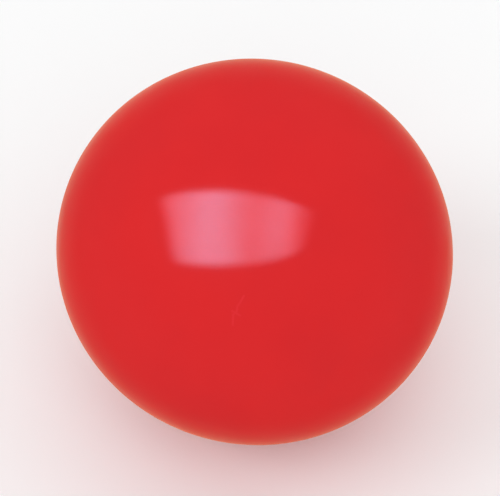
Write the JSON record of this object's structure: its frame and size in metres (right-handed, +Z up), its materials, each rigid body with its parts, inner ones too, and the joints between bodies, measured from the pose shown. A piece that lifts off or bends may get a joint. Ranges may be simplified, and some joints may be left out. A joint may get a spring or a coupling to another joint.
{
  "type": "indoor shot put",
  "caption": "Soft red indoor shot put: a glossy moulded ball casing filled with steel shot and closed by a flush barbed filler plug, resting on a small flattened patch.",
  "frame": {"origin": "centre of the flattened patch that the ball rests on", "axes": "+Z up from the floor, +X along the longest diameter, +Y along the axis of the filler plug, which faces +Y"},
  "size_m": [0.128, 0.1237, 0.1225],
  "materials": {
    "casing_red": "gloss",
    "plug_red": "satin",
    "shot_steel": "satin"
  },
  "bodies": {
    "root": {"casing": "casing_red", "filler_plug": "plug_red", "steel_shot": "shot_steel"}
  },
  "joints": []
}
